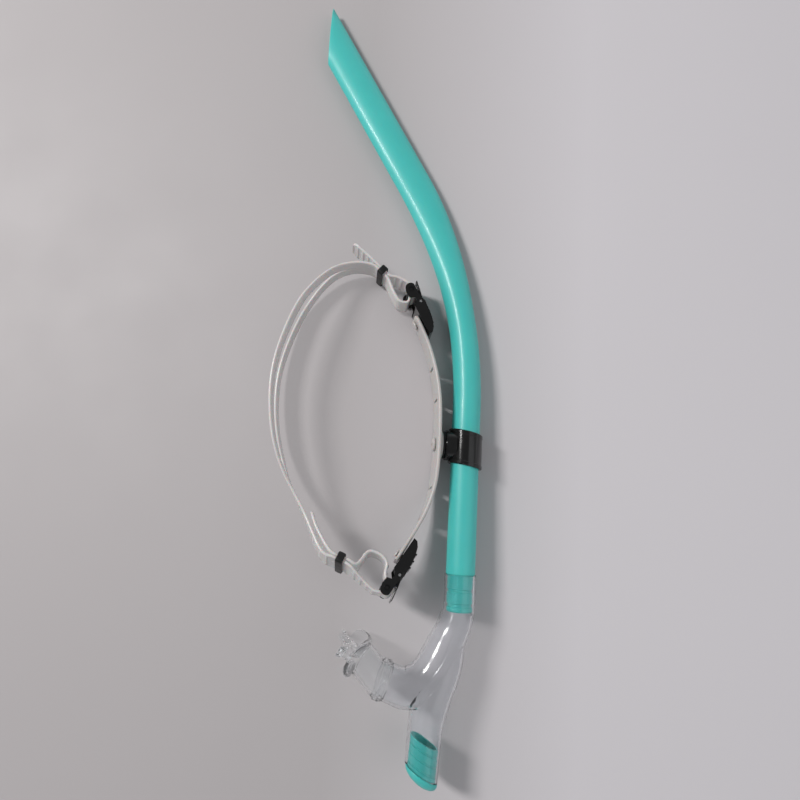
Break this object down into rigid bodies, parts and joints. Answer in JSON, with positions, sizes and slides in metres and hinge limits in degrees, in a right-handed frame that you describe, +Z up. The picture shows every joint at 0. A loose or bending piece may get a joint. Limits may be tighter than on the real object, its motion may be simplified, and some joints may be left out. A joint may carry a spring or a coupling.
{
  "type": "swim snorkel",
  "caption": "Centre-mount swim snorkel: bent oval-topped tube, soft clear lower chamber with mouthpiece and purge, and a clip with a swivelling head bracket and strap.",
  "frame": {"origin": "under the middle of the bounding box, on the surface the snorkel lies on", "axes": "+Y towards the tube's open top end, -X towards the swimmer's face, +Z up from the surface it lies on"},
  "size_m": [0.131, 0.4918, 0.0497],
  "materials": {
    "tube_plastic": "glossy opaque teal, smooth, with a soft mottled edge where light enters it",
    "chamber_silicone": "clear soft silicone, glossy",
    "mouthpiece_silicone": "clear soft silicone, glossy, a little thicker and milkier at the flange",
    "valve_silicone": "thin milky silicone",
    "purge_plastic": "teal, satin gloss",
    "clip_plastic": "black, semi-gloss moulded",
    "bracket_plastic": "milky translucent flexible plastic",
    "buckle_plastic": "black, semi-gloss moulded",
    "keeper_plastic": "black, soft satin",
    "strap_silicone": "milky translucent silicone, satin",
    "steel": "plain stainless"
  },
  "bodies": {
    "tube": {"main_tube": "tube_plastic", "lower_chamber": "chamber_silicone", "mouthpiece": "mouthpiece_silicone", "mouthpiece_ring": "mouthpiece_silicone", "purge_housing": "purge_plastic", "purge_seat": "purge_plastic", "purge_cap": "purge_plastic"},
    "purge_flap": {"purge_valve": "valve_silicone"},
    "clip": {"tube_clip": "clip_plastic", "swivel_washer": "clip_plastic", "pivot_screw": "bracket_plastic"},
    "bracket": {"head_bracket": "bracket_plastic", "head_strap": "strap_silicone", "upper_buckle_frame": "buckle_plastic", "lower_buckle_frame": "buckle_plastic", "upper_lever_pin": "steel", "lower_lever_pin": "steel", "upper_bracket_rivet": "bracket_plastic", "lower_bracket_rivet": "bracket_plastic"},
    "upper_lever": {"upper_release_lever": "buckle_plastic"},
    "lower_lever": {"lower_release_lever": "buckle_plastic"},
    "upper_roller": {"upper_strap_roller": "buckle_plastic"},
    "lower_roller": {"lower_strap_roller": "buckle_plastic"},
    "upper_keeper": {"upper_strap_keeper": "keeper_plastic"},
    "lower_keeper": {"lower_strap_keeper": "keeper_plastic"}
  },
  "joints": [
    {"name": "clip_slide", "type": "slide", "parent": "tube", "child": "clip", "axis": [-0.0025, 0.9986, -0.0537], "range_m": [-0.012, 0.012]},
    {"name": "bracket_swivel", "type": "hinge", "parent": "clip", "child": "bracket", "pos_m": [0.03757, -0.05512, 0.01438], "axis": [-0.9958, 0.0025, 0.0914], "range_deg": [-90, 90]},
    {"name": "upper_lever_open", "type": "hinge", "parent": "bracket", "child": "upper_lever", "pos_m": [0.02186, 0.03232, 0.0111], "axis": [-0.0914, -0.0537, -0.9944], "range_deg": [0, 28], "stiffness_Nm_per_rad": 0.02, "springref_deg": -11.46},
    {"name": "lower_lever_open", "type": "hinge", "parent": "bracket", "child": "lower_lever", "pos_m": [0.01901, -0.13262, 0.02976], "axis": [0.0884, 0.2786, 0.9563], "range_deg": [0, 28], "stiffness_Nm_per_rad": 0.02, "springref_deg": -11.46},
    {"name": "upper_roller_spin", "type": "hinge", "parent": "bracket", "child": "upper_roller", "pos_m": [0.0155, 0.03959, 0.0113], "axis": [-0.0914, -0.0537, -0.9944], "continuous": true},
    {"name": "lower_roller_spin", "type": "hinge", "parent": "bracket", "child": "lower_roller", "pos_m": [0.01251, -0.13931, 0.03231], "axis": [0.0884, 0.2786, 0.9563], "continuous": true},
    {"name": "upper_keeper_slide", "type": "slide", "parent": "bracket", "child": "upper_keeper", "axis": [-0.7644, 0.6437, 0.0355], "range_m": [-0.003, 0.003]},
    {"name": "lower_keeper_slide", "type": "slide", "parent": "bracket", "child": "lower_keeper", "axis": [-0.937, 0.3416, -0.0735], "range_m": [-0.003, 0.003]},
    {"name": "purge_valve_lift", "type": "slide", "parent": "tube", "child": "purge_flap", "axis": [-0.4629, -0.8818, 0.0902], "range_m": [0, 0.0012], "stiffness_N_per_m": 20, "springref_m": -0.0003}
  ]
}
